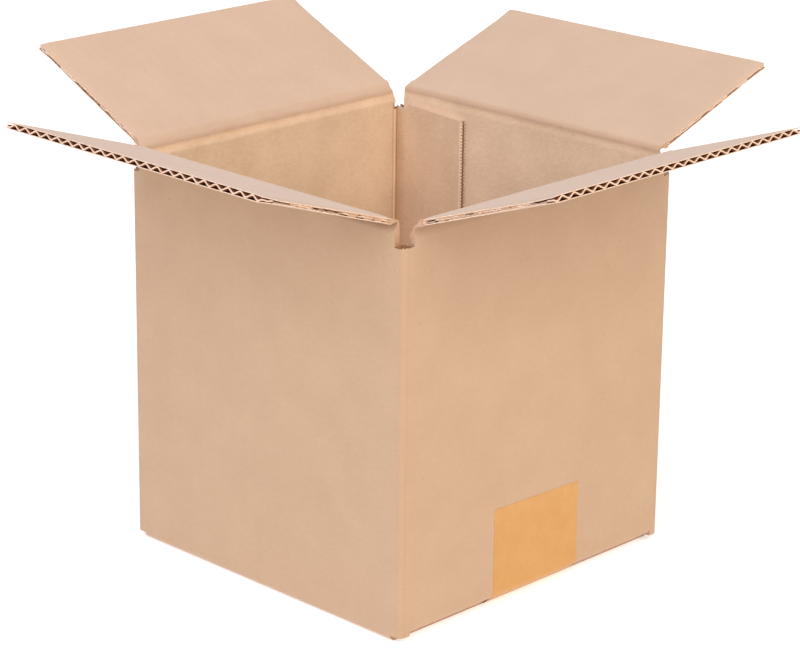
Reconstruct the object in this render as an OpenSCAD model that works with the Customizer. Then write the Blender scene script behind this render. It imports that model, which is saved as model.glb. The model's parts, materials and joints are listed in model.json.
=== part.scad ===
// Open shipping box folded from one sheet of corrugated board.
// The bottom flaps are folded in and taped, and the four top flaps stand open.
// Millimetres, +Z up. The origin is the middle of the underside, and the tape climbs both X walls.

/* [Inside of the closed box] */
// Length inside, along X
inside_l = 150; // [100:5:300]
// Width inside, along Y
inside_w = 150; // [100:5:300]
// Height inside, from the bottom flaps to the closed top flaps
inside_h = 160; // [80:5:300]

/* [Corrugated board] */
// Thickness of the board
board_t = 2.8; // [2.4:0.1:3.2]
// Distance from one flute to the next
flute_pitch = 6.4; // [5.6:0.1:7.6]
// Thickness of the two flat papers, the liners
liner_t = 0.35; // [0.25:0.05:0.45]
// Thickness of the waved paper, the medium
medium_t = 0.3; // [0.2:0.05:0.4]
// Width of the glued crest of each flute
crest_w = 1.6; // [1.2:0.1:2]

/* [Creases] */
// Thickness of the board where a crease crushes it
crease_t = 0.8; // [0.6:0.1:1]
// Distance from the middle of a crease to board of full thickness
crease_reach = 5; // [4.5:0.1:6.5]
// Radius of the rolled bead that a top flap turns on
bead_r = 0.7; // [0.6:0.05:0.8]
// Play between the bead and its flap
hinge_play = 0.3; // [0.25:0.05:0.4]
// Distance from the middle of the board to the middle of a top crease
crease_shift = 0.7; // [0.5:0.05:0.8]
// Radius outside each upright corner
corner_r = 3; // [2:0.1:4]
// Radius of the bead inside each upright corner
corner_bead_r = 1.5; // [1:0.1:2]

/* [Flaps and slots] */
// Gap that the two flaps of a pair leave between their free edges
seam_gap = 8.8; // [1:0.1:30]
// Distance from the side of a flap to the inside of the next wall
flap_setback = 2.6; // [2.2:0.1:5]
// Depth of the corner slots below the lower pair of top creases
slot_depth = 7; // [6:0.5:12]
// Gap between two layers of flaps
layer_gap = 0.3; // [0.2:0.1:0.5]
// Angle that the front flap is opened by, from upright
front_angle = 72; // [0:1:115]
// Angle that the right flap is opened by, from upright
right_angle = 71; // [0:1:115]
// Angle that the back flap is opened by, from upright
back_angle = 70; // [0:1:115]
// Angle that the left flap is opened by, from upright
left_angle = 65; // [0:1:115]

/* [Glue tab] */
// Reach of the glue tab along the back wall, from the inside of the left wall
tab_w = 40; // [25:1:50]
// Height of the tab above the bottom of the slots, next to the slot
tab_rise = 2.5; // [1:0.5:3]
// Drop of the slanted end of the tab at its free edge
tab_drop = 2; // [0.5:0.5:8]
// Distance from the inside of the left wall to the slanted end of the tab
tab_shoulder = 8; // [6:0.5:12]
// Length over which the tab steps up from the bottom of the slot
tab_step = 1; // [0.5:0.5:3]
// Distance from the raw edge of the back wall to the outside of the left wall
seam_setback = 0.5; // [0:0.1:1.5]
// Radius of the fold from the left wall into the tab
tab_fold_r = 2.2; // [1.5:0.1:2.2]

/* [Tape] */
// Width of the tape
tape_w = 50; // [36:1:75]
// Height that the tape climbs up each X wall
tape_climb = 42; // [20:1:70]
// Thickness of the tape
tape_t = 0.1; // [0.08:0.01:0.15]

/* [Hidden] */
$fn = 48;

kraft_inside = "#DDBFA5";
kraft_outside = "#D6AE8C";
tape_color = "#E6AB67";

outside_l = inside_l + 2 * board_t;
outside_w = inside_w + 2 * board_t;
half_board = board_t / 2;
flap_len = (min(inside_l, inside_w) + board_t - seam_gap) / 2;

// The flaps of the Y walls lie outermost at the bottom and at the top.
outer_flap_z = half_board;
inner_flap_z = outer_flap_z + board_t + layer_gap;
floor_z = inner_flap_z + half_board;
closed_inner_z = floor_z + inside_h + half_board;
closed_outer_z = closed_inner_z + board_t + layer_gap;

// A crease of the inner pair lies towards the outside, and one of the outer pair towards the inside.
inner_hinge_z = closed_inner_z + crease_shift;
outer_hinge_z = closed_outer_z - crease_shift;
slot_z = inner_hinge_z - slot_depth;

flap_w_along_x = inside_l - 2 * flap_setback;
flap_w_along_y = inside_w - 2 * flap_setback;
post_foot_z = board_t - layer_gap / 2;

// Distance that a cut runs past the solid it cuts
cut_margin = 1;

// Distance from the hinge line to where the crushed board starts to thicken
neck_len = bead_r + hinge_play;

// One panel stands with its outside towards +Y and its middle plane at y = 0.
module on_back() translate([0, outside_w / 2 - half_board, 0]) children();
module on_front() rotate([0, 0, 180]) on_back() children();
module on_right() rotate([0, 0, -90]) translate([0, outside_l / 2 - half_board, 0]) children();
module on_left() rotate([0, 0, 180]) on_right() children();

// Extrudes a profile drawn with y as its first and z as its second axis, along X.
module along_x(width) {
    rotate([90, 0, 90]) translate([0, 0, -width / 2]) linear_extrude(height = width) children();
}

// Wall from its bottom fold to the bead of its top crease, with its bottom flap folded in
module panel_profile(fold_z, hinge_z, shift) {
    inner_y = -half_board;
    flap_top = fold_z + half_board;
    translate([inner_y, flap_top]) square([board_t, hinge_z - crease_reach - flap_top]);
    translate([-flap_len, fold_z - half_board]) square([flap_len - half_board, board_t]);
    intersection() {
        translate([inner_y, flap_top]) circle(r = board_t);
        translate([inner_y, fold_z - half_board]) square([board_t, board_t]);
    }
    polygon([
        [-half_board, hinge_z - crease_reach],
        [half_board, hinge_z - crease_reach],
        [shift + crease_t / 2, hinge_z - neck_len],
        [shift + crease_t / 2, hinge_z],
        [shift - crease_t / 2, hinge_z],
        [shift - crease_t / 2, hinge_z - neck_len]
    ]);
    translate([shift, hinge_z]) circle(r = bead_r);
}

module panel(width, fold_z, hinge_z, shift) {
    along_x(width) panel_profile(fold_z, hinge_z, shift);
}

// Upright corner between two walls: outside at (l / 2, w / 2), round outside and beaded inside
module corner_section(l, w) {
    reach = flap_setback + board_t;
    translate([l / 2, w / 2]) {
        difference() {
            translate([-reach, -reach]) square(reach);
            translate([-reach, -reach]) square(flap_setback);
            difference() {
                translate([-corner_r, -corner_r]) square(corner_r + cut_margin);
                translate([-corner_r, -corner_r]) circle(r = corner_r);
            }
        }
        intersection() {
            translate([-board_t, -board_t]) circle(r = corner_bead_r);
            translate([-reach, -reach]) square(reach);
        }
    }
}

// Corner where the left wall folds into the glue tab behind the raw edge of the back wall
module glued_corner_section() {
    reach = flap_setback + board_t;
    difference() {
        translate([-outside_l / 2, inside_w / 2 - board_t]) square([reach, board_t]);
        translate([-outside_l / 2, inside_w / 2 - tab_fold_r]) difference() {
            square(tab_fold_r);
            translate([tab_fold_r, 0]) circle(r = tab_fold_r);
        }
    }
    translate([-outside_l / 2 + seam_setback, inside_w / 2]) square([reach - seam_setback, board_t]);
    intersection() {
        translate([-inside_l / 2, inside_w / 2 - board_t]) circle(r = corner_bead_r);
        translate([-inside_l / 2, inside_w / 2 - 2 * board_t]) square([flap_setback, 2 * board_t]);
    }
}

module corner_posts() {
    height = slot_z - post_foot_z;
    translate([0, 0, post_foot_z]) linear_extrude(height = height) {
        corner_section(outside_l, outside_w);
        mirror([0, 1]) corner_section(outside_l, outside_w);
        mirror([1, 0]) mirror([0, 1]) corner_section(outside_l, outside_w);
        glued_corner_section();
    }
}

// Tab glued against the inside of the back wall, with a slanted end at its top and bottom
module glue_tab() {
    start = flap_setback;
    foot = floor_z + board_t;
    outline = [
        [start, foot],
        [tab_shoulder - tab_step, foot],
        [tab_w, foot + tab_drop],
        [tab_w, slot_z + tab_rise - tab_drop],
        [tab_shoulder, slot_z + tab_rise],
        [tab_shoulder - tab_step, slot_z],
        [start, slot_z]
    ];
    translate([-inside_l / 2, inside_w / 2, 0])
        rotate([90, 0, 0]) linear_extrude(height = board_t) polygon(outline);
}

module body() {
    color(kraft_outside) difference() {
        union() {
            on_front() panel(flap_w_along_x, outer_flap_z, outer_hinge_z, -crease_shift);
            on_back() panel(flap_w_along_x, outer_flap_z, outer_hinge_z, -crease_shift);
            on_right() panel(flap_w_along_y, inner_flap_z, inner_hinge_z, crease_shift);
            on_left() panel(flap_w_along_y, inner_flap_z, inner_hinge_z, crease_shift);
            corner_posts();
            glue_tab();
        }
        tape_bed();
    }
}

// Hollow between a liner and the medium, with its wide side on y = 0
module flute_void() {
    height = board_t - 2 * liner_t - medium_t;
    base = flute_pitch - crest_w - medium_t;
    tip = crest_w - medium_t;
    polygon([[-base / 2, 0], [base / 2, 0], [tip / 2, height], [-tip / 2, height]]);
}

// Cut through the board: two liners and the medium that waves between them
module board_section(width) {
    count = floor((width - flute_pitch) / flute_pitch);
    first = -(count - 1) / 2 * flute_pitch;
    difference() {
        translate([-width / 2, -half_board]) square([width, board_t]);
        for (i = [0 : count - 1])
            translate([first + i * flute_pitch, liner_t - half_board]) flute_void();
        for (i = [0 : count])
            translate([first + (i - 0.5) * flute_pitch, half_board - liner_t]) mirror([0, 1]) flute_void();
    }
}

// Flap that stands upright on its hinge line at the origin, with its outside towards +Y
module flap(width, shift) {
    translate([0, -shift, crease_reach])
        linear_extrude(height = flap_len - crease_reach) board_section(width);
    difference() {
        along_x(width) polygon([
            [-crease_t / 2, 0],
            [crease_t / 2, 0],
            [crease_t / 2, neck_len],
            [half_board - shift, crease_reach],
            [-half_board - shift, crease_reach],
            [-crease_t / 2, neck_len]
        ]);
        rotate([0, 90, 0]) cylinder(r = bead_r + hinge_play, h = width + 2 * cut_margin, center = true);
    }
}

// Sets a flap on the crease of its panel and turns it outwards from upright
module hinged(hinge_z, shift, angle) {
    translate([0, shift, hinge_z]) rotate([-angle, 0, 0]) children();
}

module flap_front() {
    color(kraft_inside) on_front() hinged(outer_hinge_z, -crease_shift, front_angle)
        flap(flap_w_along_x, -crease_shift);
}

module flap_back() {
    color(kraft_inside) on_back() hinged(outer_hinge_z, -crease_shift, back_angle)
        flap(flap_w_along_x, -crease_shift);
}

module flap_right() {
    color(kraft_inside) on_right() hinged(inner_hinge_z, crease_shift, right_angle)
        flap(flap_w_along_y, crease_shift);
}

module flap_left() {
    color(kraft_inside) on_left() hinged(inner_hinge_z, crease_shift, left_angle)
        flap(flap_w_along_y, crease_shift);
}

// Path of the tape on one X wall, as (x, z) points that lie off outside the board.
// Below the wall it passes round the fold of the inner flap and runs straight to the underside.
tape_run_z = floor_z - tape_t;
tape_angle = atan2(tape_run_z, flap_setback) - asin(board_t / norm([flap_setback, tape_run_z]));
fold_corners = 4;
fold_step = (90 - tape_angle) / fold_corners;
function tape_path(off) = let (corner_r = (board_t + off) / cos(fold_step / 2)) concat(
    [[outside_l / 2 + off, tape_climb]],
    [for (i = [0 : fold_corners - 1]) let (turn = (i + 0.5) * fold_step)
        [inside_l / 2 + corner_r * cos(turn), floor_z - corner_r * sin(turn)]],
    [[flap_w_along_x / 2 + off * tan(tape_angle / 2), tape_t - off]]
);
function reversed(points) = [for (i = [len(points) - 1 : -1 : 0]) points[i]];
function mirrored(points) = [for (p = points) [-p[0], p[1]]];

module tape() {
    outer = tape_path(tape_t);
    inner = tape_path(0);
    color(tape_color) rotate([90, 0, 0]) translate([0, 0, -tape_w / 2]) linear_extrude(height = tape_w)
        polygon(concat(outer, reversed(mirrored(outer)), mirrored(inner), reversed(inner)));
}

// Shallow bed that the tape is rubbed down into, so that it lies flush with the underside
module tape_bed() {
    translate([-flap_w_along_x / 2, -tape_w / 2, -board_t]) cube([flap_w_along_x, tape_w, board_t + tape_t]);
}

body();
flap_front();
flap_right();
flap_back();
flap_left();
tape();
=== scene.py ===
import json
import math

import bmesh
import bpy
from mathutils import Matrix, Vector, noise


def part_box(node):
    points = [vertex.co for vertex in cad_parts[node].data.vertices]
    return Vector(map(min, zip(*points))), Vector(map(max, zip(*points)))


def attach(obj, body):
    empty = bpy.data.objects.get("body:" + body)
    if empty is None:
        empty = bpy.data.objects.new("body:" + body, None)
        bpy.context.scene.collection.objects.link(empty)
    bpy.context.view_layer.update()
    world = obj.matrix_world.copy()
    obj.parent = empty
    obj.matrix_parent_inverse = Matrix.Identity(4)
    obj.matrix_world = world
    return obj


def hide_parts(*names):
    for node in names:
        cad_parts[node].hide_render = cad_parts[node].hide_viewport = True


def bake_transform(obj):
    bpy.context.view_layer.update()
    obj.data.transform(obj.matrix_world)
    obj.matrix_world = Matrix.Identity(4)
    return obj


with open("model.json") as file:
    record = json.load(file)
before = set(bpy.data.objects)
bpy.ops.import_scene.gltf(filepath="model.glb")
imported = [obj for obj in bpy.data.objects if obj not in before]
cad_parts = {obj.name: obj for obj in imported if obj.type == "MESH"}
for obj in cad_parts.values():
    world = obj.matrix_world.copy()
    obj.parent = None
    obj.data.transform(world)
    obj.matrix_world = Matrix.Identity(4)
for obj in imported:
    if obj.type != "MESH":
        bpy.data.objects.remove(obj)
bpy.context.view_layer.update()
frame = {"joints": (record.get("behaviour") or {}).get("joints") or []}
print("frame loaded")

mm = 0.001
tiny = 0.05 * mm  # places closer than this count as the same

# The corrugated board that everything but the tape is made of
board = {
    "thick": 2.8 * mm,
    "liner": 0.35 * mm,
    "medium": 0.6 * mm,  # the paper itself is thinner, but its cut edge is frayed to about this
    "pitch": 6.4 * mm,
    "toothPitch": 1.4 * mm,  # the knives that cut such board have fine teeth
    "toothDepth": 0.22 * mm,
}

# Each side is modelled as the back one, with its outside towards +Y, and then turned into place.
# Painted shade below the crease reaches some way down the inside of its wall, and the cut sides of a fuzzy
# flap are mostly closed by crushed fibres
sides = {
    "back": {
        "turn": 0, "joint": "back_crease", "body": "back_flap", "node": "flap_back",
        "pressed": 3 * mm, "fuzzy": False,
    },
    "left": {
        "turn": 90, "joint": "left_crease", "body": "left_flap", "node": "flap_left",
        "pressed": 5.5 * mm, "fuzzy": False,
    },
    "front": {
        "turn": 180, "joint": "front_crease", "body": "front_flap", "node": "flap_front",
        "pressed": 4 * mm, "fuzzy": True,
    },
    "right": {
        "turn": 270, "joint": "right_crease", "body": "right_flap", "node": "flap_right",
        "pressed": 4 * mm, "fuzzy": True,
    },
}

joints = {joint["name"]: joint for joint in frame["joints"]}
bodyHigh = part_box("body")[1]
outside = Vector((bodyHigh.x, bodyHigh.y))
wallMiddle = outside.x - board["thick"] / 2

for side in sides.values():
    joint = joints[side["joint"]]
    pos = Vector(joint["pos_m"])
    hinge = Vector((0, max(abs(pos.x), abs(pos.y)), pos.z))
    side["hingeZ"] = hinge.z
    side["shift"] = hinge.y - wallMiddle
    # A shut flap has turned a right angle inwards from upright
    side["open"] = math.radians(-joint["range_deg"][0] - 90)
    side["matrix"] = Matrix.Rotation(math.radians(side["turn"]), 4, "Z")
    side["hingeMatrix"] = side["matrix"] @ Matrix.Translation(hinge)
    side["alongX"] = side["turn"] % 180 == 0


def deselectAll():
    if bpy.context.object and bpy.context.object.mode != "OBJECT":
        bpy.ops.object.mode_set(mode="OBJECT")
    bpy.ops.object.select_all(action="DESELECT")


def selectOnly(obj):
    deselectAll()
    obj.select_set(True)
    bpy.context.view_layer.objects.active = obj


def edit(obj):
    selectOnly(obj)
    bpy.ops.object.mode_set(mode="EDIT")
    bpy.ops.mesh.select_all(action="DESELECT")


def stopEditing():
    bpy.ops.object.mode_set(mode="OBJECT")


def pick(kind, test):
    # Selects only the verts, edges or faces that the test accepts by their middle
    bpy.ops.mesh.select_mode(type={"verts": "VERT", "edges": "EDGE", "faces": "FACE"}[kind])
    bpy.ops.mesh.select_all(action="DESELECT")
    data = bpy.context.object.data
    mesh = bmesh.from_edit_mesh(data)
    for item in getattr(mesh, kind):
        points = [item.co] if kind == "verts" else [v.co for v in item.verts]
        middle = sum(points, Vector()) / len(points)
        if test(middle, item):
            item.select_set(True)
    bmesh.update_edit_mesh(data)


def at(a, b):
    return abs(a - b) < tiny


def reshape(obj, move):
    # Moves each vertex to where move() puts it
    stopEditing()
    for vert in obj.data.vertices:
        vert.co = move(vert.co.copy())
    obj.data.update()


def addBox(name, low, high):
    deselectAll()
    middle = (Vector(low) + Vector(high)) / 2
    bpy.ops.mesh.primitive_cube_add(size=1, location=middle, scale=Vector(high) - Vector(low))
    bpy.ops.object.transform_apply(location=True, rotation=True, scale=True)
    obj = bpy.context.object
    obj.name = obj.data.name = name
    return obj


def addGrid(name, columns, rows, pointAt):
    # A grid whose corners run over 0..1 by 0..1, with each point put where pointAt() says
    deselectAll()
    bpy.ops.mesh.primitive_grid_add(
        x_subdivisions=columns, y_subdivisions=rows, size=1, location=(0.5, 0.5, 0),
    )
    bpy.ops.object.transform_apply(location=True, rotation=True, scale=True)
    obj = bpy.context.object
    obj.name = obj.data.name = name
    reshape(obj, lambda co: pointAt(co.x, co.y))
    return obj


def applyModifier(obj, kind, **settings):
    selectOnly(obj)
    modifier = obj.modifiers.new(kind.title(), kind)
    for key, value in settings.items():
        setattr(modifier, key, value)
    bpy.ops.object.modifier_apply(modifier=modifier.name)


def extrudeTo(offset):
    bpy.ops.mesh.extrude_region_move(TRANSFORM_OT_translate={"value": Vector(offset)})


def extrudeArc(radius, steps, start, along):
    # Extrudes what is selected round a quarter circle, from direction start towards direction along
    for step in range(steps):
        a, b = (math.pi / 2 * k / steps for k in (step, step + 1))
        extrudeTo(radius * ((math.sin(b) - math.sin(a)) * start + (math.cos(a) - math.cos(b)) * along))


def turnFacesOver(obj):
    # For a grid whose faces point inwards once it is shaped
    edit(obj)
    bpy.ops.mesh.select_all(action="SELECT")
    bpy.ops.mesh.flip_normals()
    stopEditing()


def joinAll(name, parts):
    deselectAll()
    for part in parts:
        part.select_set(True)
    bpy.context.view_layer.objects.active = parts[0]
    bpy.ops.object.join()
    parts[0].name = parts[0].data.name = name
    return parts[0]


def copyOf(obj, name):
    selectOnly(obj)
    bpy.ops.object.duplicate(linked=False)
    twin = bpy.context.object
    twin.name = twin.data.name = name
    return twin


def remove(*objects):
    deselectAll()
    for obj in objects:
        obj.select_set(True)
    bpy.ops.object.delete()


def place(obj, matrix):
    selectOnly(obj)
    obj.matrix_world = matrix
    bpy.ops.object.transform_apply(location=True, rotation=True, scale=True)


def smoothShade(obj, degrees=35):
    selectOnly(obj)
    bpy.ops.object.shade_smooth_by_angle(angle=math.radians(degrees))


def setMaterials(obj, materials):
    obj.data.materials.clear()
    for material in materials:
        obj.data.materials.append(material)


def paint(slot):
    # Gives the selected faces a material slot
    bpy.context.object.active_material_index = slot
    bpy.ops.object.material_slot_assign()


def markPaintedShade(obj, amounts):
    # How much painted shade each vertex gets, which the kraft liner's material reads as a darker tint
    obj.data.attributes.new("pressed", "FLOAT", "POINT").data.foreach_set("value", amounts)


def ramp(value, start, end):
    t = min(1, max(0, (value - start) / (end - start)))
    return t * t * (3 - 2 * t)


def ripple(a, b, seed):
    # Smooth noise from -1 to 1 with bumps about 1 wide, where another b or seed gives other bumps
    return noise.noise(Vector((a, b, seed)))


def linear(hexColour):
    # sRGB hex to the linear values that the shaders take
    channels = [int(hexColour[i:i + 2], 16) / 255 for i in (1, 3, 5)]
    return [c / 12.92 if c <= 0.04045 else ((c + 0.055) / 1.055) ** 2.4 for c in channels] + [1]


def addNode(tree, kind, settings=None, links=None):
    node = tree.nodes.new(kind)
    for key, value in (settings or {}).items():
        if isinstance(key, int) or key in node.inputs:
            node.inputs[key].default_value = value
        else:
            setattr(node, key, value)
    for key, output in (links or {}).items():
        tree.links.new(output, node.inputs[key])
    return node


def startMaterial(name):
    material = bpy.data.materials.new(name)
    material.use_nodes = True
    tree = material.node_tree
    tree.nodes.clear()
    return material, tree


toneStops = (0.3, 0.5, 0.7)  # layered noise seldom goes beyond these


def setTones(colourRamp, tones):
    # Makes a colour ramp run through three tones, dark to light
    elements = colourRamp.elements
    for index, (position, tone) in enumerate(zip(toneStops, tones)):
        element = elements[index] if index < 2 else elements.new(position)
        element.position = position
        element.color = linear(tone)


kraft = {
    "cloud": 18 * mm,  # paper forms in faint clouds of fibre about this wide
    "fibre": 0.9 * mm,  # real fibres are finer, drawn as coarse as they show
    "fibreStretch": 2.5,
    "fibreShare": 0.5,
    "fibreDepth": 0.02 * mm,
    "shiveSpacing": 7 * mm,  # shives are the few dark splinters of wood left in the pulp
    "shiveSize": 0.32 * mm,
    "shiveTint": "#E9DED6",
    "shadeTint": "#CBA872",  # painted shade in creases, grooves and folds is darker and yellower
    "washboardDepth": 0.03 * mm,  # the liner sinks a little between the crests of the flutes
    "roughness": 0.86,
    "specular": 0.3,
    "sheen": 0.36,  # loose fibres catch the light where the paper is seen flat along its face
    "sheenTint": "#FFF3EB",
}


def kraftLiner(name, tones, alongX):
    # Kraft liner, brown paper made on a wire: matt and even, with faint clouds, short fibres, a few shives
    material, tree = startMaterial(name)
    coords = addNode(tree, "ShaderNodeTexCoord").outputs["Object"]
    clouds = addNode(
        tree, "ShaderNodeTexNoise",
        {"Scale": 1 / kraft["cloud"], "Detail": 3, "Roughness": 0.5}, {"Vector": coords},
    ).outputs["Fac"]
    # Stretched across the flutes, along the wall
    squeeze = (1 / kraft["fibreStretch"], 1, 1) if alongX else (1, 1 / kraft["fibreStretch"], 1)
    stretched = addNode(tree, "ShaderNodeMapping", {"Scale": squeeze}, {"Vector": coords}).outputs["Vector"]
    fibres = addNode(
        tree, "ShaderNodeTexNoise",
        {"Scale": 1 / kraft["fibre"], "Detail": 3, "Roughness": 0.65}, {"Vector": stretched},
    ).outputs["Fac"]
    mixed = addNode(
        tree, "ShaderNodeMix",
        {"data_type": "FLOAT", "Factor": kraft["fibreShare"]}, {"A": clouds, "B": fibres},
    ).outputs[0]
    plain = addNode(tree, "ShaderNodeValToRGB", links={"Fac": mixed})
    setTones(plain.color_ramp, tones)
    distance = addNode(
        tree, "ShaderNodeTexVoronoi", {"Scale": 1 / kraft["shiveSpacing"]}, {"Vector": coords},
    ).outputs["Distance"]
    isShive = addNode(
        tree, "ShaderNodeMath", {"operation": "LESS_THAN", 1: kraft["shiveSize"] / kraft["shiveSpacing"]},
        {0: distance},
    ).outputs[0]
    # A mix of colours takes its share on socket 0 and the colours on 6 and 7, and gives the result on 2
    tint = {"data_type": "RGBA", "blend_type": "MULTIPLY"}
    shived = addNode(
        tree, "ShaderNodeMix", {**tint, 7: linear(kraft["shiveTint"])},
        {0: isShive, 6: plain.outputs["Color"]},
    ).outputs[2]
    # Painted shade from the vertices' attribute darkens creases, grooves and folds
    pressed = addNode(tree, "ShaderNodeAttribute", {"attribute_name": "pressed"}).outputs["Fac"]
    colour = addNode(
        tree, "ShaderNodeMix", {**tint, 7: linear(kraft["shadeTint"])}, {0: pressed, 6: shived},
    ).outputs[2]
    # Crests of the flutes show through as faint ribs
    axis = addNode(tree, "ShaderNodeSeparateXYZ", links={"Vector": coords}).outputs["X" if alongX else "Y"]
    phase = addNode(
        tree, "ShaderNodeMath", {"operation": "MULTIPLY", 1: 2 * math.pi / board["pitch"]}, {0: axis},
    ).outputs[0]
    ribs = addNode(tree, "ShaderNodeMath", {"operation": "COSINE"}, {0: phase}).outputs[0]
    ribHeight = addNode(
        tree, "ShaderNodeMath", {"operation": "MULTIPLY", 1: kraft["washboardDepth"] / 2}, {0: ribs},
    ).outputs[0]
    grain = addNode(
        tree, "ShaderNodeMath", {"operation": "MULTIPLY", 1: kraft["fibreDepth"]}, {0: fibres},
    ).outputs[0]
    height = addNode(tree, "ShaderNodeMath", {"operation": "ADD"}, {0: ribHeight, 1: grain}).outputs[0]
    bump = addNode(
        tree, "ShaderNodeBump", {"Strength": 1.0, "Distance": 1.0}, {"Height": height},
    ).outputs["Normal"]
    shader = addNode(
        tree, "ShaderNodeBsdfPrincipled",
        {
            "Roughness": kraft["roughness"], "Specular IOR Level": kraft["specular"],
            "Sheen Weight": kraft["sheen"], "Sheen Tint": linear(kraft["sheenTint"]),
        },
        {"Base Color": colour, "Normal": bump},
    )
    addNode(tree, "ShaderNodeOutputMaterial", links={"Surface": shader.outputs["BSDF"]})
    return material


rawEdge = {
    "fuzz": 0.7 * mm,
    "fuzzDepth": 0.1 * mm,
    "fuzzStrength": 0.6,
    "roughness": 0.92,
    "specular": 0.2,
}


def rawEdgePaper(name, tones):
    # Cut paper: the fibres stand up along the cut, rougher than the face of the liner
    material, tree = startMaterial(name)
    coords = addNode(tree, "ShaderNodeTexCoord").outputs["Object"]
    fuzz = addNode(
        tree, "ShaderNodeTexNoise",
        {"Scale": 1 / rawEdge["fuzz"], "Detail": 3, "Roughness": 0.7}, {"Vector": coords},
    ).outputs["Fac"]
    colour = addNode(tree, "ShaderNodeValToRGB", links={"Fac": fuzz})
    setTones(colour.color_ramp, tones)
    bump = addNode(
        tree, "ShaderNodeBump",
        {"Strength": rawEdge["fuzzStrength"], "Distance": rawEdge["fuzzDepth"]}, {"Height": fuzz},
    ).outputs["Normal"]
    shader = addNode(
        tree, "ShaderNodeBsdfPrincipled",
        {"Roughness": rawEdge["roughness"], "Specular IOR Level": rawEdge["specular"]},
        {"Base Color": colour.outputs["Color"], "Normal": bump},
    )
    addNode(tree, "ShaderNodeOutputMaterial", links={"Surface": shader.outputs["BSDF"]})
    return material


film = {
    "tones": ("#BC8544", "#C18A48", "#C6904F"),
    "ripple": 9 * mm,
    "speckle": 1.6 * mm,  # the glue under the film isn't quite even
    "speckleShare": 0.4,
    "rippleDepth": 0.15 * mm,
    "rippleStrength": 0.5,
    "roughness": 0.42,
    "specular": 0.4,
}


def packingTape(name):
    # Buff polypropylene tape: smooth film over soft glue, so the gloss is broken by slow ripples
    material, tree = startMaterial(name)
    coords = addNode(tree, "ShaderNodeTexCoord").outputs["Object"]
    ripples = addNode(
        tree, "ShaderNodeTexNoise",
        {"Scale": 1 / film["ripple"], "Detail": 2, "Roughness": 0.5}, {"Vector": coords},
    ).outputs["Fac"]
    speckle = addNode(
        tree, "ShaderNodeTexNoise",
        {"Scale": 1 / film["speckle"], "Detail": 3, "Roughness": 0.6}, {"Vector": coords},
    ).outputs["Fac"]
    mixed = addNode(
        tree, "ShaderNodeMix",
        {"data_type": "FLOAT", "Factor": film["speckleShare"]}, {"A": ripples, "B": speckle},
    ).outputs[0]
    colour = addNode(tree, "ShaderNodeValToRGB", links={"Fac": mixed})
    setTones(colour.color_ramp, film["tones"])
    bump = addNode(
        tree, "ShaderNodeBump",
        {"Strength": film["rippleStrength"], "Distance": film["rippleDepth"]}, {"Height": mixed},
    ).outputs["Normal"]
    shader = addNode(
        tree, "ShaderNodeBsdfPrincipled",
        {"Roughness": film["roughness"], "Specular IOR Level": film["specular"]},
        {"Base Color": colour.outputs["Color"], "Normal": bump},
    )
    addNode(tree, "ShaderNodeOutputMaterial", links={"Surface": shader.outputs["BSDF"]})
    return material


outerTones = ("#B28F70", "#B69374", "#BA9778")
innerTones = ("#C7A68C", "#CBAA90", "#CFAE94")
wallLitTones = ("#D2B190", "#DDBC9B", "#E8C7A6")  # painted light: the walls' inside is a lighter copy of the inner liner, standing in for light that reaches it
outerAlongX = kraftLiner("outer_kraft_liner_x", outerTones, True)
outerAlongY = kraftLiner("outer_kraft_liner_y", outerTones, False)
innerAlongX = kraftLiner("inner_kraft_liner_x", innerTones, True)
innerAlongY = kraftLiner("inner_kraft_liner_y", innerTones, False)
litWallAlongX = kraftLiner("wall_kraft_liner_x", wallLitTones, True)
litWallAlongY = kraftLiner("wall_kraft_liner_y", wallLitTones, False)
# A clean cut leaves pale torn fibres, and one that crushed the board is darker
cutEdge = rawEdgePaper("cut_kraft_edge", ("#C9A186", "#DBB99F", "#E9CDB8"))
shearedEdge = rawEdgePaper("sheared_kraft_edge", ("#A98467", "#B99375", "#C9A386"))
# The medium is recycled fibre, darker and duller; its colour also gives the liners' faces in the hollow
# flutes painted shade, and the torn one is darkest, with painted shade from its own loose fibres
mediumAndHollowShade = rawEdgePaper("fluting_medium", ("#99643F", "#AC744C", "#BE885F"))
tornPaper = rawEdgePaper("torn_fluting_medium", ("#7E5738", "#956A47", "#AF8359"))
tapeFilm = packingTape("buff_tape_film")
print("materials made")

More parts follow.
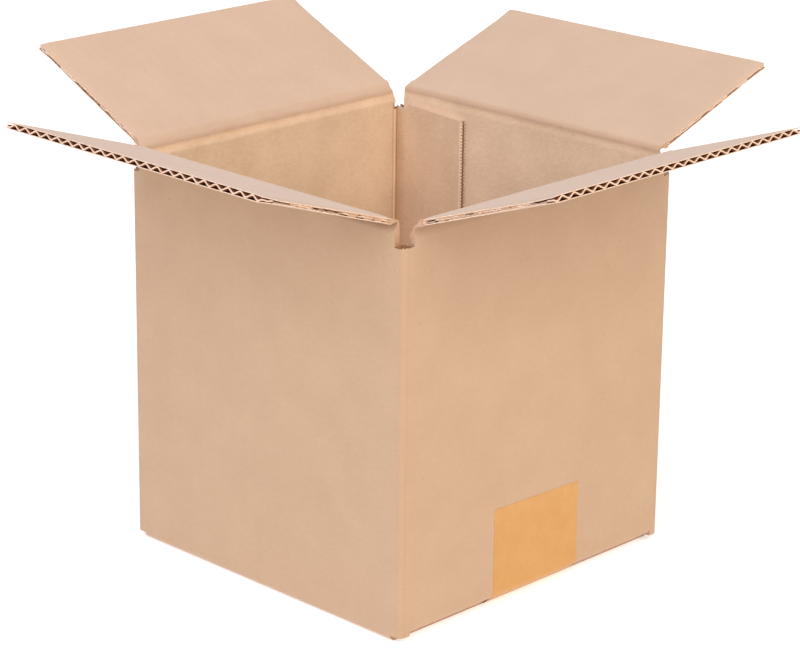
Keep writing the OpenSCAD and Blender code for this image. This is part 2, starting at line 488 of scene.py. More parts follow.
# The four walls, the corner posts, the bottom flaps and the glue tab, folded from one sheet
carton = {
    "foldRadius": 3 * mm,
    "foldSteps": 8,
    "arcSlack": 0.04 * mm,  # the points of a fold lie this close to a true arc
    "slotReach": 5.4 * mm,  # from the outside of a corner to the side of a flap
    "slotDepth": 7 * mm,
    "creaseReach": 5 * mm,  # from a top crease to where the board has its full thickness again
    "seamGap": 8.8 * mm,  # between the bottom flaps' ends
    "layerGap": 0.3 * mm,  # between the two layers of bottom flaps
    "tapeBed": 0.1 * mm,
    "flutedEnd": 8 * mm,  # the end of each bottom flap that has real flutes
    "postFoot": 2.65 * mm,  # how high the corner posts end above the floor
    "seamSetback": 0.5 * mm,  # from the corner to the back wall's raw edge
    "tabReach": 40 * mm,
    "tabShoulder": 8 * mm,
    "tabStep": 1 * mm,
    "tabRise": 2.5 * mm,
    "tabDrop": 2 * mm,
    "lip": 1.3 * mm,  # how far the liners stand past a board that is cut along its flutes
    "lipTooth": 0.6 * mm,
    "lipRoot": 1.1,  # the teeth begin this many times their depth back
    "lipDip": 0.8 * mm,  # the free edge of the tab is pressed down a little
    "tear": 2 * mm,
    "farTear": 0.8 * mm,  # the far slot was cut straighter
    "tearGrain": 1.3 / mm,
    "tabDarkening": 0.22,  # the glue tab is darkened by this share of the same tint
    "tabRootDarkening": 0.5,  # and most of all beside the fold
    # painted shade over the outer round of each upright fold, dimming its highlight
    "foldShade": 0.1,
    # Inside of an upright fold, from one wall to the other: groove, rolled bead, groove.
    # Each point has its distance from the corner along both walls, in millimetres,
    # and how much painted shade it gets, most in the grooves
    "foldProfile": (
        (2.5, 0.0, 0.5), (1.9, -0.25, 0.85), (1.2, 0.1, 1.0), (1.1, 0.65, 0.35), (0.85, 0.85, 0),
        (0.65, 1.1, 0), (0.1, 1.25, 1.0), (-0.35, 1.7, 1.0), (0.0, 2.5, 0.05),
    ),
}

thick = board["thick"]
inside = outside - Vector((thick, thick))
foldRadius = carton["foldRadius"]
slotZ = sides["left"]["hingeZ"] - carton["slotDepth"]
outerFlapZ = carton["tapeBed"]  # underside of the front and back bottom flaps
innerFlapZ = thick + carton["layerGap"]  # underside of the left and right ones
floorZ = innerFlapZ + thick
ringLow = innerFlapZ + foldRadius  # where the walls end and their lower folds begin
flapEnd = carton["seamGap"] / 2
panelX = outside.x - carton["slotReach"]  # half the width of the panels between the slots
panelY = outside.y - carton["slotReach"]
tabShoulder = -inside.x + carton["tabShoulder"]
tabEnd = -inside.x + carton["tabReach"] - carton["lip"]

# Solidify adds 2 to a face's slot for the inside of the board, and 4 for a cut edge
cartonMaterials = (
    outerAlongX, outerAlongY, litWallAlongX, litWallAlongY, shearedEdge, shearedEdge, tornPaper, innerAlongX,
)
alongXSlot, alongYSlot, shearedSlot, tornSlot, tabTopSlot = 0, 1, 4, 6, 7


def isTop(m):
    return at(m.z, slotZ)


def isBottom(m):
    return at(m.z, ringLow)


def onFrontBack(m):
    return at(abs(m.y), outside.y) and abs(m.x) < panelX


def onLeftRight(m):
    return at(abs(m.x), outside.x) and abs(m.y) < panelY


def onTab(m):
    return at(m.y, inside.y) and m.x < tabEnd + tiny


def isBorder(e):
    return len(e.link_faces) == 1


def addTab():
    # The left wall folds into the glue tab behind the raw edge of the back wall
    def isRearLeft(m, e):
        return at(m.x, -outside.x) and at(m.y, outside.y)

    pick("edges", isRearLeft)
    bpy.ops.mesh.edge_split(type="EDGE")
    pick("edges", lambda m, e: isRearLeft(m, e) and e.link_faces[0].normal.y > 0.5)
    bpy.ops.transform.translate(value=(carton["seamSetback"] + carton["lip"], 0, 0))
    pick("edges", isRearLeft)
    bpy.ops.transform.translate(value=(0, -thick, 0))
    extrudeTo((tabEnd + outside.x, 0, 0))


def foldCorners():
    def isCorner(m, e):
        return len(e.link_faces) == 2 and abs(e.link_faces[0].normal.dot(e.link_faces[1].normal)) < 0.1

    pick("edges", isCorner)
    bpy.ops.mesh.bevel(
        offset=foldRadius, offset_type="OFFSET", segments=carton["foldSteps"], profile=0.5, affect="EDGES",
    )


def markPanels():
    # Lines where the flaps and the tab's shoulder begin
    for normal, reach in ((Vector((1, 0, 0)), panelX), (Vector((0, 1, 0)), panelY)):
        for sign in (1, -1):
            bpy.ops.mesh.select_all(action="SELECT")
            bpy.ops.mesh.bisect(plane_co=normal * sign * reach, plane_no=normal)
    pick("faces", lambda m, f: onTab(m) and f.normal.y > 0.5)
    bpy.ops.mesh.bisect(plane_co=(tabShoulder, 0, 0), plane_no=(1, 0, 0))
    pick("faces", lambda m, f: abs(f.normal.y) > abs(f.normal.x))
    paint(alongXSlot)
    pick("faces", lambda m, f: abs(f.normal.y) <= abs(f.normal.x))
    paint(alongYSlot)


def raisePanels():
    # Panels rise past the bottoms of the slots to their top creases
    pick("edges", lambda m, e: isTop(m) and onFrontBack(m))
    extrudeTo((0, 0, sides["front"]["hingeZ"] - carton["creaseReach"] - slotZ))
    pick("edges", lambda m, e: isTop(m) and onLeftRight(m))
    extrudeTo((0, 0, sides["left"]["hingeZ"] - carton["creaseReach"] - slotZ))


def trimTab():
    # The tab steps up past its shoulder, and its ends slant towards its free edge
    tabTop, tabFoot = slotZ + carton["tabRise"], floorZ + thick
    pick("edges", lambda m, e: isTop(m) and onTab(m) and m.x > tabShoulder)
    extrudeTo((0, 0, carton["tabRise"]))
    pick("verts", lambda m, v: at(m.z, tabTop) and onTab(m) and at(m.x, tabEnd))
    bpy.ops.transform.translate(value=(0, 0, -carton["tabDrop"]))
    pick("verts", lambda m, v: isTop(m) and onTab(m) and at(m.x, tabShoulder))
    bpy.ops.transform.translate(value=(-carton["tabStep"], 0, 0))
    pick("verts", lambda m, v: isBottom(m) and onTab(m))
    bpy.ops.transform.translate(value=(0, 0, tabFoot - ringLow))
    pick("verts", lambda m, v: at(m.z, tabFoot) and onTab(m) and at(m.x, tabEnd))
    bpy.ops.transform.translate(value=(0, 0, carton["tabDrop"]))


def foldBottom():
    down = Vector((0, 0, -1))
    toEnd = foldRadius + flapEnd + carton["flutedEnd"]
    # Left and right bottom flaps, which lie on the other two
    for sign in (-1, 1):
        pick("edges", lambda m, e: isBottom(m) and onLeftRight(m) and m.x * sign > 0)
        extrudeArc(foldRadius, carton["foldSteps"], down, Vector((-sign, 0, 0)))
        extrudeTo((-sign * (outside.x - toEnd), 0, 0))

    # Front and back bottom flaps, with the corner posts beside them
    foldZ = outerFlapZ + foldRadius
    pick("edges", lambda m, e: isBottom(m) and isBorder(e) and not onLeftRight(m) and not onTab(m))
    extrudeTo((0, 0, foldZ - ringLow))
    pick("edges", lambda m, e: at(m.z, foldZ) and isBorder(e) and not onFrontBack(m) and abs(m.x) > panelX)
    extrudeTo((0, 0, carton["postFoot"] - foldZ))
    for sign in (-1, 1):
        pick("edges", lambda m, e: at(m.z, foldZ) and onFrontBack(m) and m.y * sign > 0)
        extrudeArc(foldRadius, carton["foldSteps"], down, Vector((0, -sign, 0)))
        extrudeTo((0, -sign * (outside.y - toEnd), 0))

    def inOuterFlap(m, f):
        atFold = abs(m.y) > panelY
        return m.z < ringLow - tiny and abs(m.x) < panelX and (atFold or m.z < outerFlapZ + tiny)

    def inInnerFlap(m, f):
        return outerFlapZ + tiny < m.z < ringLow - tiny and abs(m.x) < outside.x - tiny and abs(m.y) < panelY

    pick("faces", inOuterFlap)
    paint(alongXSlot)
    pick("faces", inInnerFlap)
    paint(alongYSlot)


def paintCuts():
    # The tab's free edge and the back wall's raw edge are cut along the flutes
    def isTabEnd(m, f):
        return at(m.x, tabEnd) and f.normal.x > 0.9 and m.y < inside.y

    def isRawEdge(m, f):
        return f.normal.x < -0.9 and m.y > inside.y and m.x > -outside.x + tiny and m.z < slotZ

    def isTornSlot(m, f):
        # The near and the far slot end in torn medium, and the others were cut clean
        inSlot = abs(m.x) > panelX and abs(m.y) > panelY
        return f.normal.z > 0.5 and at(m.z, slotZ) and inSlot and m.x * m.y < 0

    def isTabTop(m, f):
        inTab = inside.y - thick < m.y < inside.y and -inside.x < m.x < tabEnd
        return f.normal.z > 0.5 and inTab and m.z > slotZ - carton["tabDrop"]

    for test, slot in (
        (isTabEnd, shearedSlot), (isRawEdge, tornSlot), (isTornSlot, tornSlot), (isTabTop, tabTopSlot),
    ):
        pick("faces", test)
        paint(slot)


def buildCarton():
    obj = addBox("carton", (-outside.x, -outside.y, ringLow), (outside.x, outside.y, slotZ))
    setMaterials(obj, cartonMaterials)
    edit(obj)
    pick("faces", lambda m, f: abs(f.normal.z) > 0.5)
    bpy.ops.mesh.delete(type="FACE")
    addTab()
    foldCorners()
    markPanels()
    raisePanels()
    trimTab()
    foldBottom()
    stopEditing()
    applyModifier(
        obj, "SOLIDIFY", thickness=thick, offset=-1, use_even_offset=True, use_quality_normals=True,
        use_rim=True, material_offset=2, material_offset_rim=4,
    )
    edit(obj)
    paintCuts()
    stopEditing()
    return obj


cartonShell = buildCarton()
print("carton folded", len(cartonShell.data.polygons))


def shapeCorners(obj):
    # The crushed board rolls into a bead inside each upright fold, with painted shade in the grooves beside
    # it and on the outer fold, and the slots end in torn paper
    innerRadius = foldRadius - thick
    slack, grain = carton["arcSlack"], carton["tearGrain"]
    corners = [(1, 1, inside.y), (1, -1, inside.y), (-1, -1, inside.y), (-1, 1, inside.y - thick)]
    pressed = []

    def move(co):
        amount = 0
        if at(co.y, inside.y - thick) and co.x < carton["tabReach"] - inside.x:
            isRoot = co.x < carton["slotReach"] - outside.x + tiny
            amount = carton["tabRootDarkening" if isRoot else "tabDarkening"]
        for signX, signY, cornerY in corners:
            inner = Vector((co.x * signX - inside.x + innerRadius, co.y * signY - cornerY + innerRadius))
            if abs(inner.length - innerRadius) < slack and min(inner) > -slack / 2:
                share = math.atan2(inner.y, inner.x) / (math.pi / 2)
                # Along the wall that faces Y first, then along the one that faces X
                fromX, fromY, amount = carton["foldProfile"][round((1 - share) * carton["foldSteps"])]
                co.x = signX * (inside.x - fromX * mm)
                co.y = signY * (cornerY - fromY * mm)
            outer = Vector((co.x * signX - outside.x + foldRadius, co.y * signY - outside.y + foldRadius))
            if abs(outer.length - foldRadius) < slack and min(outer) > 2 * tiny:
                amount = carton["foldShade"]
        if at(co.z, slotZ) and min(abs(co.x), abs(co.y)) > inside.x - carton["slotReach"]:
            tear = carton["farTear" if co.x < 0 < co.y else "tear"]
            co.z += tear * (ripple(co.x * grain, co.y * grain, 4) - 0.5)
        pressed.append(amount)
        return co

    reshape(obj, move)
    markPaintedShade(obj, pressed)


shapeCorners(cartonShell)

# Flutes of the open board: liner, waved medium, liner, with the flutes along +Z
fluted = {
    "width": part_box("flap_front")[1].x * 2,
    "clip": 1.3,  # how hard the wave is flattened where it is glued to the liners
    "clipPower": 5,
    "bite": 0.02 * mm,  # how far its crests sink into them
    "samples": 14,  # points to a flute
    "overhang": 1.5 * mm,  # the medium stops short of a side that was cut between two crests
    "stretch": 3 * mm,  # and is crushed to and fro within this much of its end
    "columns": 30,
    "endRows": 12,
    "endMediumRows": 2,
    "tornRim": 0.8 * mm,  # pale torn fibres on the inside of the liners
    "crowding": 1.9,  # columns of a liner are packed towards its sides, where it is pinched
}

# Solidify adds 2 to a liner's slot for its cut edge
linerMaterials = (outerAlongX, innerAlongX, cutEdge, cutEdge, mediumAndHollowShade)
outerSlot, innerSlot, rimSlot, hollowSlot = 0, 1, 3, 4


def waveY(x):
    # Straight legs between short glued crests
    half = board["thick"] / 2 - board["liner"] - board["medium"] / 2 + fluted["bite"]
    phase = (x / board["pitch"]) % 1
    v = (4 * abs(phase - 0.5) - 1) * fluted["clip"]
    power = fluted["clipPower"]
    return half * v / (1 + abs(v) ** power) ** (1 / power)


def buildFlutedBoard(name, zLow, zHigh, rows, mediumRows, pinch=None, mediumEnd=None):
    # The board stands on its edge with its outside towards +Y and its flutes upright
    half = fluted["width"] / 2
    height = zHigh - zLow
    parts = []
    for sign in (1, -1):
        def linerPoint(u, v):
            w = 2 * u - 1
            x = half * math.copysign(1 - (1 - abs(w)) ** fluted["crowding"], w)
            z = zLow + height * v
            squeezed = pinch(x, z) if pinch else 0
            y = sign * (thick / 2 - board["liner"] / 2) * (1 - squeezed)
            atSide = abs(w) > 0.999
            if atSide and round((z - zLow) / board["toothPitch"] * 2) % 2 == 0:
                x -= math.copysign(board["toothDepth"], w)
            return Vector((x, y, z))

        liner = addGrid(name + "Liner", fluted["columns"], rows, linerPoint)
        setMaterials(liner, linerMaterials)
        edit(liner)
        bpy.ops.mesh.select_all(action="SELECT")
        paint(outerSlot if sign > 0 else innerSlot)
        stopEditing()
        applyModifier(liner, "SOLIDIFY", thickness=board["liner"], offset=0, material_offset_rim=2)
        edit(liner)
        # The liners' faces towards the hollow flutes take the medium's darker colour as painted shade
        pick("faces", lambda m, f: f.normal.y * sign < -0.7)
        paint(hollowSlot)
        pick("faces", lambda m, f: f.normal.y * sign < -0.7 and abs(m.x) >= half - fluted["tornRim"])
        paint(rimSlot)
        stopEditing()
        parts.append(liner)
    span = fluted["width"] - 2 * fluted["overhang"]
    columns = int(span / board["pitch"] * fluted["samples"])
    lastFree = span / 2 - fluted["stretch"]

    def mediumPoint(u, v):
        x = span * (u - 0.5)
        z = zLow + height * v
        stray = 0
        if mediumEnd and abs(x) > lastFree:
            share = (abs(x) - lastFree) / fluted["stretch"]
            end, stray = mediumEnd(x, z)
            x, stray = math.copysign(lastFree + share * (end - lastFree), x), stray * share
        squeezed = pinch(x, z) if pinch else 0
        return Vector((x, waveY(x) * (1 - squeezed) + stray, z))

    medium = addGrid(name + "Medium", columns, mediumRows, mediumPoint)
    setMaterials(medium, [mediumAndHollowShade, cutEdge])
    applyModifier(medium, "SOLIDIFY", thickness=board["medium"], offset=0, material_offset_rim=1)
    parts.append(medium)
    return joinAll(name, parts)


def turnRibs(obj):
    # Swaps the liners' materials for those with their ribs along Y
    for slotItem in obj.material_slots:
        name = slotItem.material.name
        if name.endswith("_x"):
            slotItem.material = bpy.data.materials[name[:-1] + "y"]


def buildBottomEnds():
    # Fluted ends of the four bottom flaps, which show in the gap along the taped seam
    first = buildFlutedBoard(
        "bottomEnd", 0, carton["flutedEnd"], fluted["endRows"], fluted["endMediumRows"],
    )
    for slotItem in first.material_slots:
        if slotItem.material == innerAlongX:
            slotItem.material = litWallAlongX
    ends = []
    for name, side in sides.items():
        low = outerFlapZ if side["alongX"] else innerFlapZ
        end = copyOf(first, "bottomEnd_" + name)
        if not side["alongX"]:
            turnRibs(end)
        # Laid flat with its outside down and its cut end towards the seam
        laid = Matrix.Translation((0, flapEnd, low + thick / 2)) @ Matrix.Rotation(-math.pi / 2, 4, "X")
        place(end, side["matrix"] @ laid)
        ends.append(end)
    remove(first)
    return ends


def buildLips():
    # Liners that stand past a board cut along its flutes, on the tab's free edge and the back wall's raw one
    tooth = carton["lipTooth"]
    tabTop = slotZ + carton["tabRise"] - carton["tabDrop"]
    tabFoot = floorZ + thick + carton["tabDrop"]
    # Each run has its end, the way it points, the outer face of its board, its foot and its top
    runs = (
        (tabEnd + carton["lip"], 1, inside.y, tabFoot, tabTop),
        (-outside.x + carton["seamSetback"], -1, outside.y, outerFlapZ + foldRadius, slotZ),
    )
    edgeSlot = 1
    lips = []
    for end, way, outerY, low, high in runs:
        teeth = int((high - low) / board["toothPitch"])
        for isOuter in (True, False):
            linerY = outerY - board["liner"] / 2 if isOuter else outerY - thick + board["liner"] / 2
            dip = 0 if isOuter else carton["lipDip"]

            def lipPoint(u, v):
                # Three columns of points: the board, the line where the teeth begin, and the teeth
                notch = round(v * teeth * 2) % 2
                back = (carton["lip"], carton["lipRoot"] * tooth, tooth * notch)[round(2 * u)]
                return Vector((end - way * back, linerY + dip * u ** 2, low + (high - low) * v))

            lip = addGrid("lip", 2, teeth * 2, lipPoint)
            setMaterials(lip, [outerAlongX if isOuter else litWallAlongX, cutEdge])
            edit(lip)
            pick("faces", lambda m, f: abs(m.x - end) < tooth)
            paint(edgeSlot)
            stopEditing()
            applyModifier(
                lip, "SOLIDIFY", thickness=board["liner"], offset=0, material_offset_rim=edgeSlot,
            )
            lips.append(lip)
    return lips


cartonPiece = joinAll("carton", [cartonShell] + buildBottomEnds() + buildLips())
smoothShade(cartonPiece)
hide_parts("body")
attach(cartonPiece, "box")
print("carton finished", len(cartonPiece.data.polygons))

# A top flap, from its crease to its tip
flap = {
    "length": 72 * mm,
    "rows": 96,
    "mediumRows": 48,
    # Its sides were crushed when the slots were cut, by these shares of its thickness
    "pinchReach": 3.4 * mm,  # how far in from the side
    "pinchCrease": 0.26,
    "pinchMost": 0.5,
    "pinchRise": (0.3, 0.8),  # grows between these shares of the length
    "pinchTip": 0.2,
    "pinchWander": 0.1,
    "wanderPitch": 6 * mm,
    "openFrom": 0.86,  # past this share of the length the board springs open again
    # The crushed medium ends some way back from the side
    "tipBack": 0.5 * mm,
    "tornBack": 1.2 * mm,
    "tornPitch": 9 * mm,
    "tornRise": (0.05, 0.25),  # torn out where its noise is above these
    "raggedPitch": 1.7 * mm,
    "raggedShare": 0.4,
    "tornWave": 0.6 * mm,
    "tornWavePitch": 2.6 * mm,
    # Long tears in the side at -X and at +X, as shares of the length
    "tearsLow": ((0.41, 0.64), (0.8, 0.92)),
    "tearsHigh": ((0.1, 0.16), (0.83, 0.95)),
    # Crushed fibres in the cut
    "fuzzRows": 130,
    "fuzzBack": 0.35 * mm,
    "fuzzRough": 0.8,
    "fuzzGrain": 1.1 / mm,
    "fuzzThick": 0.12 * mm,
    # Holes in them, long along the side, in this part of the gap from the inner to the outer liner
    "holeBand": (-0.3, 0.9),
    "holePitch": 4.5 * mm,
    "holeHeight": 2 * mm,
    "holesAbove": 0.08,
}


def crushing(x, z):
    share = (z - carton["creaseReach"]) / (flap["length"] - carton["creaseReach"])
    atTip = ramp(share, flap["openFrom"], 1)
    wander = flap["pinchWander"] * ripple(z / flap["wanderPitch"], 3 if x > 0 else 8, 2)
    growth = (flap["pinchMost"] - flap["pinchCrease"]) * ramp(share, *flap["pinchRise"])
    return (flap["pinchCrease"] + growth + wander) * (1 - atTip) + flap["pinchTip"] * atTip


def flapPinch(x, z):
    edge = fluted["width"] / 2 - abs(x)
    return crushing(x, z) * (1 - ramp(edge, 0, flap["pinchReach"]))


def inTear(x, z):
    tears = flap["tearsHigh" if x > 0 else "tearsLow"]
    return any(start < z / flap["length"] < end for start, end in tears)


def tornMedium(x, z):
    # Where the medium ends at the flap's side, ragged and now and then torn out, and how far it strays
    ragged = 0.5 + 0.5 * ripple(z / flap["raggedPitch"], 5 if x > 0 else 2, 7)
    tornOut = ramp(ripple(z / flap["tornPitch"], 4 if x > 0 else 9, 3), *flap["tornRise"])
    if inTear(x, z):
        tornOut = 1
    crushed = ramp(crushing(x, z), flap["pinchTip"], flap["pinchCrease"])
    back = flap["tornBack"] * max(flap["raggedShare"] * ragged, tornOut)
    back = back * crushed + flap["tipBack"] * (1 - crushed)
    stray = crushed * flap["tornWave"] * ripple(z / flap["tornWavePitch"], 7 if x > 0 else 1, 5)
    return fluted["width"] / 2 - max(board["toothDepth"], back), stray


def buildFuzz():
    # Crushed fibres that close most of a flap's cut sides, torn open here and there
    foot, top = carton["creaseReach"], flap["length"] * flap["openFrom"]
    strips = []
    for sign in (-1, 1):
        def halfGap(z):
            return (thick / 2 - board["liner"]) * (1 - crushing(sign, z))

        def fuzzPoint(u, v):
            z = foot + (top - foot) * v
            rough = flap["fuzzRough"] * ripple(z * flap["fuzzGrain"], u * 3, 4 + sign)
            back = flap["fuzzBack"] * (1 + rough)
            return Vector((sign * (fluted["width"] / 2 - back), halfGap(z) * (2 * u - 1), z))

        def isHole(m, f):
            low, high = flap["holeBand"]
            hole = ripple(m.z / flap["holePitch"], m.y / flap["holeHeight"], 6 + sign)
            return low < m.y / halfGap(m.z) < high and (inTear(sign, m.z) or hole > flap["holesAbove"])

        strip = addGrid("fuzz", 4, flap["fuzzRows"], fuzzPoint)
        setMaterials(strip, [shearedEdge])
        edit(strip)
        pick("faces", isHole)
        bpy.ops.mesh.delete(type="FACE")
        stopEditing()
        applyModifier(strip, "SOLIDIFY", thickness=flap["fuzzThick"], offset=0)
        strips.append(strip)
    return strips


def buildFlaps():
    first = buildFlutedBoard(
        "flapBoard", carton["creaseReach"], flap["length"], flap["rows"], flap["mediumRows"],
        flapPinch, tornMedium,
    )
    fuzz = joinAll("flapFuzz", buildFuzz())
    for name, side in sides.items():
        obj = copyOf(first, "flap_board_" + name)
        if side["fuzzy"]:
            obj = joinAll(obj.name, [obj, copyOf(fuzz, "fuzz")])
        if not side["alongX"]:
            turnRibs(obj)
        hang = side["hingeMatrix"] @ Matrix.Rotation(-side["open"], 4, "X")
        place(obj, hang @ Matrix.Translation((0, -side["shift"], 0)))
        smoothShade(obj)
        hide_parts(side["node"])
        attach(obj, side["body"])
    remove(first, fuzz)


buildFlaps()
print("flaps made")

crease = {
    "thick": 0.8 * mm,
    "neck": 0.6 * mm,  # fully crushed this far from the fold
    "fullFrom": 0.96,  # share of the reach where the board has its full thickness
    "bend": 1.3 * mm,  # the fold turns within this distance to each side of the hinge line
    "bendSteps": 200,
    "wander": 0.35 * mm,
    "wanderPitch": 7 * mm,
    "wanderFade": 0.6,
    "bandMiddle": 0.35 * mm,  # the darkest line of painted shade, on the flap's side of the fold
    "bandPitch": 9 * mm,
    "bandWidth": 1.15 * mm,
    "bandStrength": 0.27,
    "strengthVary": 0.35,
    "strengthPitch": 16 * mm,
    "wallTone": 1.2 * mm,  # the wall's lighter painted-lit tone begins this far below the fold
    "slopeStrength": 0.3,  # and the slope above the wall gets painted shade too
    "columns": 120,
    "rows": 40,
    "smoothAngle": 60,
}


def buildCrease(name, side):
    # Crushed board that runs from the wall over the fold into the flap
    half = fluted["width"] / 2
    reach = carton["creaseReach"]

    def bent(s):
        # 0 on the wall, 1 on the flap
        return ramp(s, -crease["bend"], crease["bend"])

    def spread(s, x):
        # 0 in the crushed middle, 1 where the board has its full thickness
        fade = 1 - ramp(abs(s), crease["wanderFade"] * reach, reach)
        drift = crease["wander"] * ripple(x / crease["wanderPitch"], side["turn"], 5) * fade
        return ramp(abs(s + drift), crease["neck"], crease["fullFrom"] * reach)

    # The middle line is bent by walking along it in small steps
    stride = 2 * reach / crease["bendSteps"]
    path = [(0.0, -reach)]
    for step in range(crease["bendSteps"]):
        angle = side["open"] * bent(-reach + (step + 0.5) * stride)
        y, z = path[-1]
        path.append((y + math.sin(angle) * stride, z + math.cos(angle) * stride))
    # The flap's end of the path is brought onto the flap, which turns about the hinge itself
    flapY, flapZ = math.sin(side["open"]), math.cos(side["open"])
    missY, missZ = flapY * reach - path[-1][0], flapZ * reach - path[-1][1]

    def creasePoint(u, v):
        x, s = half * (2 * u - 1), reach * (2 * v - 1)
        angle = side["open"] * bent(s)
        off = -side["shift"] * spread(s, x)
        y, z = path[round(v * crease["bendSteps"])]
        y += missY * bent(s) + off * math.cos(angle)
        z += missZ * bent(s) - off * math.sin(angle)
        return Vector((x, y, z))

    obj = addGrid("crease_" + name, crease["columns"], crease["rows"], creasePoint)
    outer, inner, wall = (
        (outerAlongX, innerAlongX, litWallAlongX) if side["alongX"] else (outerAlongY, innerAlongY, litWallAlongY)
    )
    # Solidify adds 2 to a face's slot for the inside, where the wall's painted-lit tone and the flap's
    # differ, and 4 for a cut edge
    setMaterials(obj, [outer, outer, inner, wall, shearedEdge, shearedEdge])
    wallSlot = 1
    group = obj.vertex_groups.new(name="board")
    pressed = []
    for vert in obj.data.vertices:
        row, column = divmod(vert.index, crease["columns"] + 1)
        x = half * (2 * column / crease["columns"] - 1)
        s = reach * (2 * row / crease["rows"] - 1)
        weight = (crease["thick"] + (thick - crease["thick"]) * spread(s, x)) / thick
        group.add([vert.index], weight, "REPLACE")
        # Painted shade: a wavering dark band along the fold, and a fainter slope of it down the wall
        middle = crease["bandMiddle"] + crease["wander"] * ripple(x / crease["bandPitch"], side["turn"], 6)
        vary = crease["strengthVary"] * ripple(x / crease["strengthPitch"], side["turn"], 8)
        band = crease["bandStrength"] * (1 + vary) * math.exp(-((s - middle) / crease["bandWidth"]) ** 2)
        onWall = s < -crease["wallTone"] - tiny
        slope = ramp(s, -side["pressed"], -crease["wallTone"]) if onWall else 0
        pressed.append(band + crease["slopeStrength"] * slope)
    markPaintedShade(obj, pressed)
    edit(obj)
    # Faces on the wall get the painted-lit wall tone on their inside
    pick("faces", lambda m, f: m.z < -crease["wallTone"])
    paint(wallSlot)
    turnFacesOver(obj)
    applyModifier(
        obj, "SOLIDIFY", thickness=thick, offset=0, vertex_group="board", thickness_vertex_group=0,
        material_offset=2, material_offset_rim=4,
    )
    place(obj, side["hingeMatrix"])
    smoothShade(obj, crease["smoothAngle"])
    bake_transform(obj)


for name, side in sides.items():
    buildCrease(name, side)
print("creases pressed")

tape = {
    "width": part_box("tape")[1].y * 2,
    "climb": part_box("tape")[1].z,
    "thick": 0.1 * mm,
    "foldSteps": 8,
    "firstRow": 12 * mm,  # a row of points this far above the fold
    "across": 60,
    "tilt": math.radians(1.5),
    "tooth": 0.3 * mm,  # the tape gun's blade cuts small teeth
    "toothPitch": 1.1 * mm,
}


def buildTape():
    # One strip along the seam and up both X walls, following the fold of the inner flaps
    centre = Vector((outside.x - foldRadius, innerFlapZ + foldRadius))
    gap = Vector((panelX, outerFlapZ)) - centre
    # Tangent from the underside of the outer flaps to the fold of the inner ones
    tangent = math.atan2(gap.y, gap.x) + math.acos(foldRadius / gap.length)
    outline = [Vector((outside.x, tape["climb"])), Vector((outside.x, centre.y + tape["firstRow"]))]
    for step in range(tape["foldSteps"] + 1):
        angle = tangent * step / tape["foldSteps"]
        outline.append(centre + foldRadius * Vector((math.cos(angle), math.sin(angle))))
    outline += [Vector((panelX, outerFlapZ)), Vector((panelX / 2, outerFlapZ)), Vector((0, outerFlapZ))]
    outline += [Vector((-p.x, p.y)) for p in reversed(outline[:-1])]
    last = len(outline) - 1

    def tapePoint(u, v):
        row = round(v * last)
        x, z = outline[row]
        y = tape["width"] * (u - 0.5)
        if row in (0, last):
            z -= math.tan(tape["tilt"]) * (tape["width"] / 2 + math.copysign(1, x) * y)
            z -= tape["tooth"] * abs((y / tape["toothPitch"]) % 1 - 0.5) * 2
        return Vector((x, y, z))

    obj = addGrid("tape_strip", tape["across"], last, tapePoint)
    setMaterials(obj, [tapeFilm])
    turnFacesOver(obj)
    applyModifier(obj, "SOLIDIFY", thickness=tape["thick"], offset=1)
    smoothShade(obj)
    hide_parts("tape")
    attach(obj, "box")


buildTape()
print("tape laid")

# Plain pale floor and soft studio light
studio = {
    "floorSize": 6.0,
    "floorDrop": 0.2 * mm,
    "floorColour": "#F4F4F4",
    "floorRoughness": 0.9,
    "floorGlow": 0.42,  # keeps the floor white to its far edge
    "worldStrength": 0.4,
    # Large soft lamps, each seen from the box in degrees round from its front wall and up from the floor
    "lamps": (
        {
            "name": "keyRight", "around": 82, "up": 34, "far": 4.5,
            "size": 3.0, "power": 124, "colour": "#FFFDF3",
        },
        {
            "name": "keyLeft", "around": 6, "up": 34, "far": 4.5,
            "size": 3.0, "power": 140, "colour": "#DDEAFF",
        },
        {
            "name": "top", "around": 44, "up": 78, "far": 4.0,
            "size": 3.5, "power": 26, "colour": "#FFE6DC",
        },
    ),
}


def directionTo(around, up):
    # From the box, with angles in radians round from its front wall and up from the floor
    return Vector((math.sin(around) * math.cos(up), -math.cos(around) * math.cos(up), math.sin(up)))


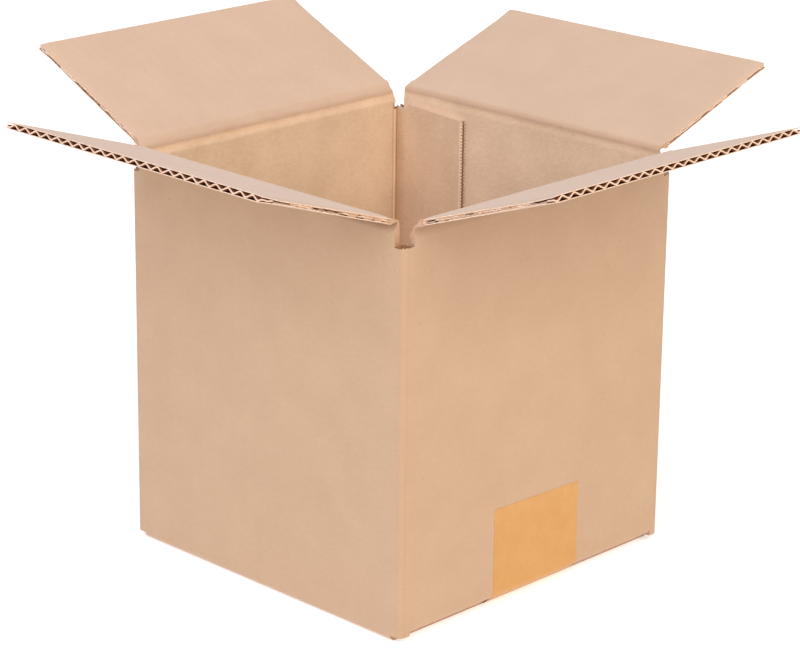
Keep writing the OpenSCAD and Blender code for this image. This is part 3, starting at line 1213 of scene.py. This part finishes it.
def buildStudio():
    deselectAll()
    bpy.ops.mesh.primitive_plane_add(size=studio["floorSize"], location=(0, 0, -studio["floorDrop"]))
    floor = bpy.context.object
    floor.name = "floor"
    material, tree = startMaterial("pale_floor")
    shader = addNode(tree, "ShaderNodeBsdfPrincipled", {
        "Base Color": linear(studio["floorColour"]), "Roughness": studio["floorRoughness"],
        "Emission Color": (1, 1, 1, 1), "Emission Strength": studio["floorGlow"],
    })
    addNode(tree, "ShaderNodeOutputMaterial", links={"Surface": shader.outputs["BSDF"]})
    setMaterials(floor, [material])

    world = bpy.data.worlds.new("studio")
    bpy.context.scene.world = world
    world.use_nodes = True
    background = world.node_tree.nodes["Background"]
    background.inputs["Color"].default_value = (1, 1, 1, 1)
    background.inputs["Strength"].default_value = studio["worldStrength"]

    for facts in studio["lamps"]:
        aim = directionTo(math.radians(facts["around"]), math.radians(facts["up"]))
        bpy.ops.object.light_add(type="AREA", location=aim * facts["far"])
        lamp = bpy.context.object
        lamp.name = facts["name"]
        lamp.data.size = facts["size"]
        lamp.data.energy = facts["power"]
        lamp.data.color = linear(facts["colour"])[:3]
        lamp.rotation_euler = aim.to_track_quat("Z", "Y").to_euler()


buildStudio()

camera = {
    "focal": 2839.58,  # in pixels of an image 800 wide
    "imageWidth": 800,
    "azimuth": math.radians(44.30),
    "elevation": math.radians(17.63),
    "roll": math.radians(0.68),
    "distance": 1201.86 * mm,
    "aside": 1.04 * mm,
    "up": 106.53 * mm,
    "shift": 0.05,
    "sensor": 36,
    "clipStart": 10 * mm,
}


def buildCamera():
    azimuth, roll = camera["azimuth"], camera["roll"]
    back = directionTo(azimuth, camera["elevation"])
    level = Vector((math.cos(azimuth), math.sin(azimuth), 0))
    rise = back.cross(level)
    right = math.cos(roll) * level + math.sin(roll) * rise
    up = math.cos(roll) * rise - math.sin(roll) * level
    where = camera["aside"] * right + camera["up"] * up + camera["distance"] * back
    bpy.ops.object.camera_add()
    obj = bpy.context.object
    obj.matrix_world = Matrix([(*row,) for row in zip(right, up, back, where)] + [(0, 0, 0, 1)])
    obj.data.sensor_width = camera["sensor"]
    obj.data.lens = camera["focal"] / camera["imageWidth"] * camera["sensor"]
    obj.data.shift_y = -camera["shift"]
    obj.data.clip_start = camera["clipStart"]
    bpy.context.scene.camera = obj


buildCamera()
bpy.context.scene.view_settings.view_transform = "Standard"
print("studio and camera set")
